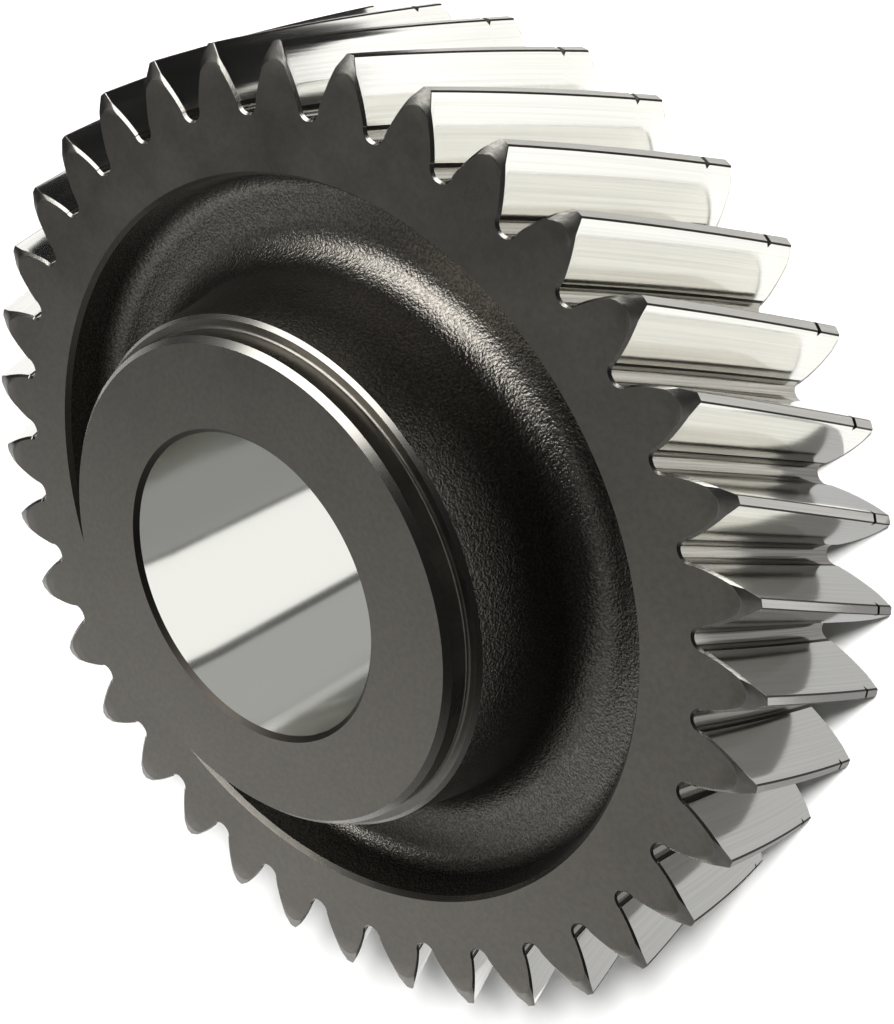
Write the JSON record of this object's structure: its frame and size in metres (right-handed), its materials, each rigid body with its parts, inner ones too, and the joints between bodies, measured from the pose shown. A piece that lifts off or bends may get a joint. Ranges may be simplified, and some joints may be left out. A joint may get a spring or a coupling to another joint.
{
  "type": "transmission gear",
  "caption": "One-piece helical transmission gear with a dished forged web, a raised hub on one side and a plain ground bore.",
  "frame": {"origin": "on the bore axis in the plane of the back end face, on which the gear stands", "axes": "+Z along the bore axis, from the back end face towards the raised hub; +X through the middle of a tooth at the back end face; +Y completes the right-hand frame"},
  "size_m": [0.2056, 0.2056, 0.0657],
  "materials": {
    "alloy_steel": "satin"
  },
  "bodies": {
    "root": {"helical_gear": "alloy_steel"}
  },
  "joints": []
}
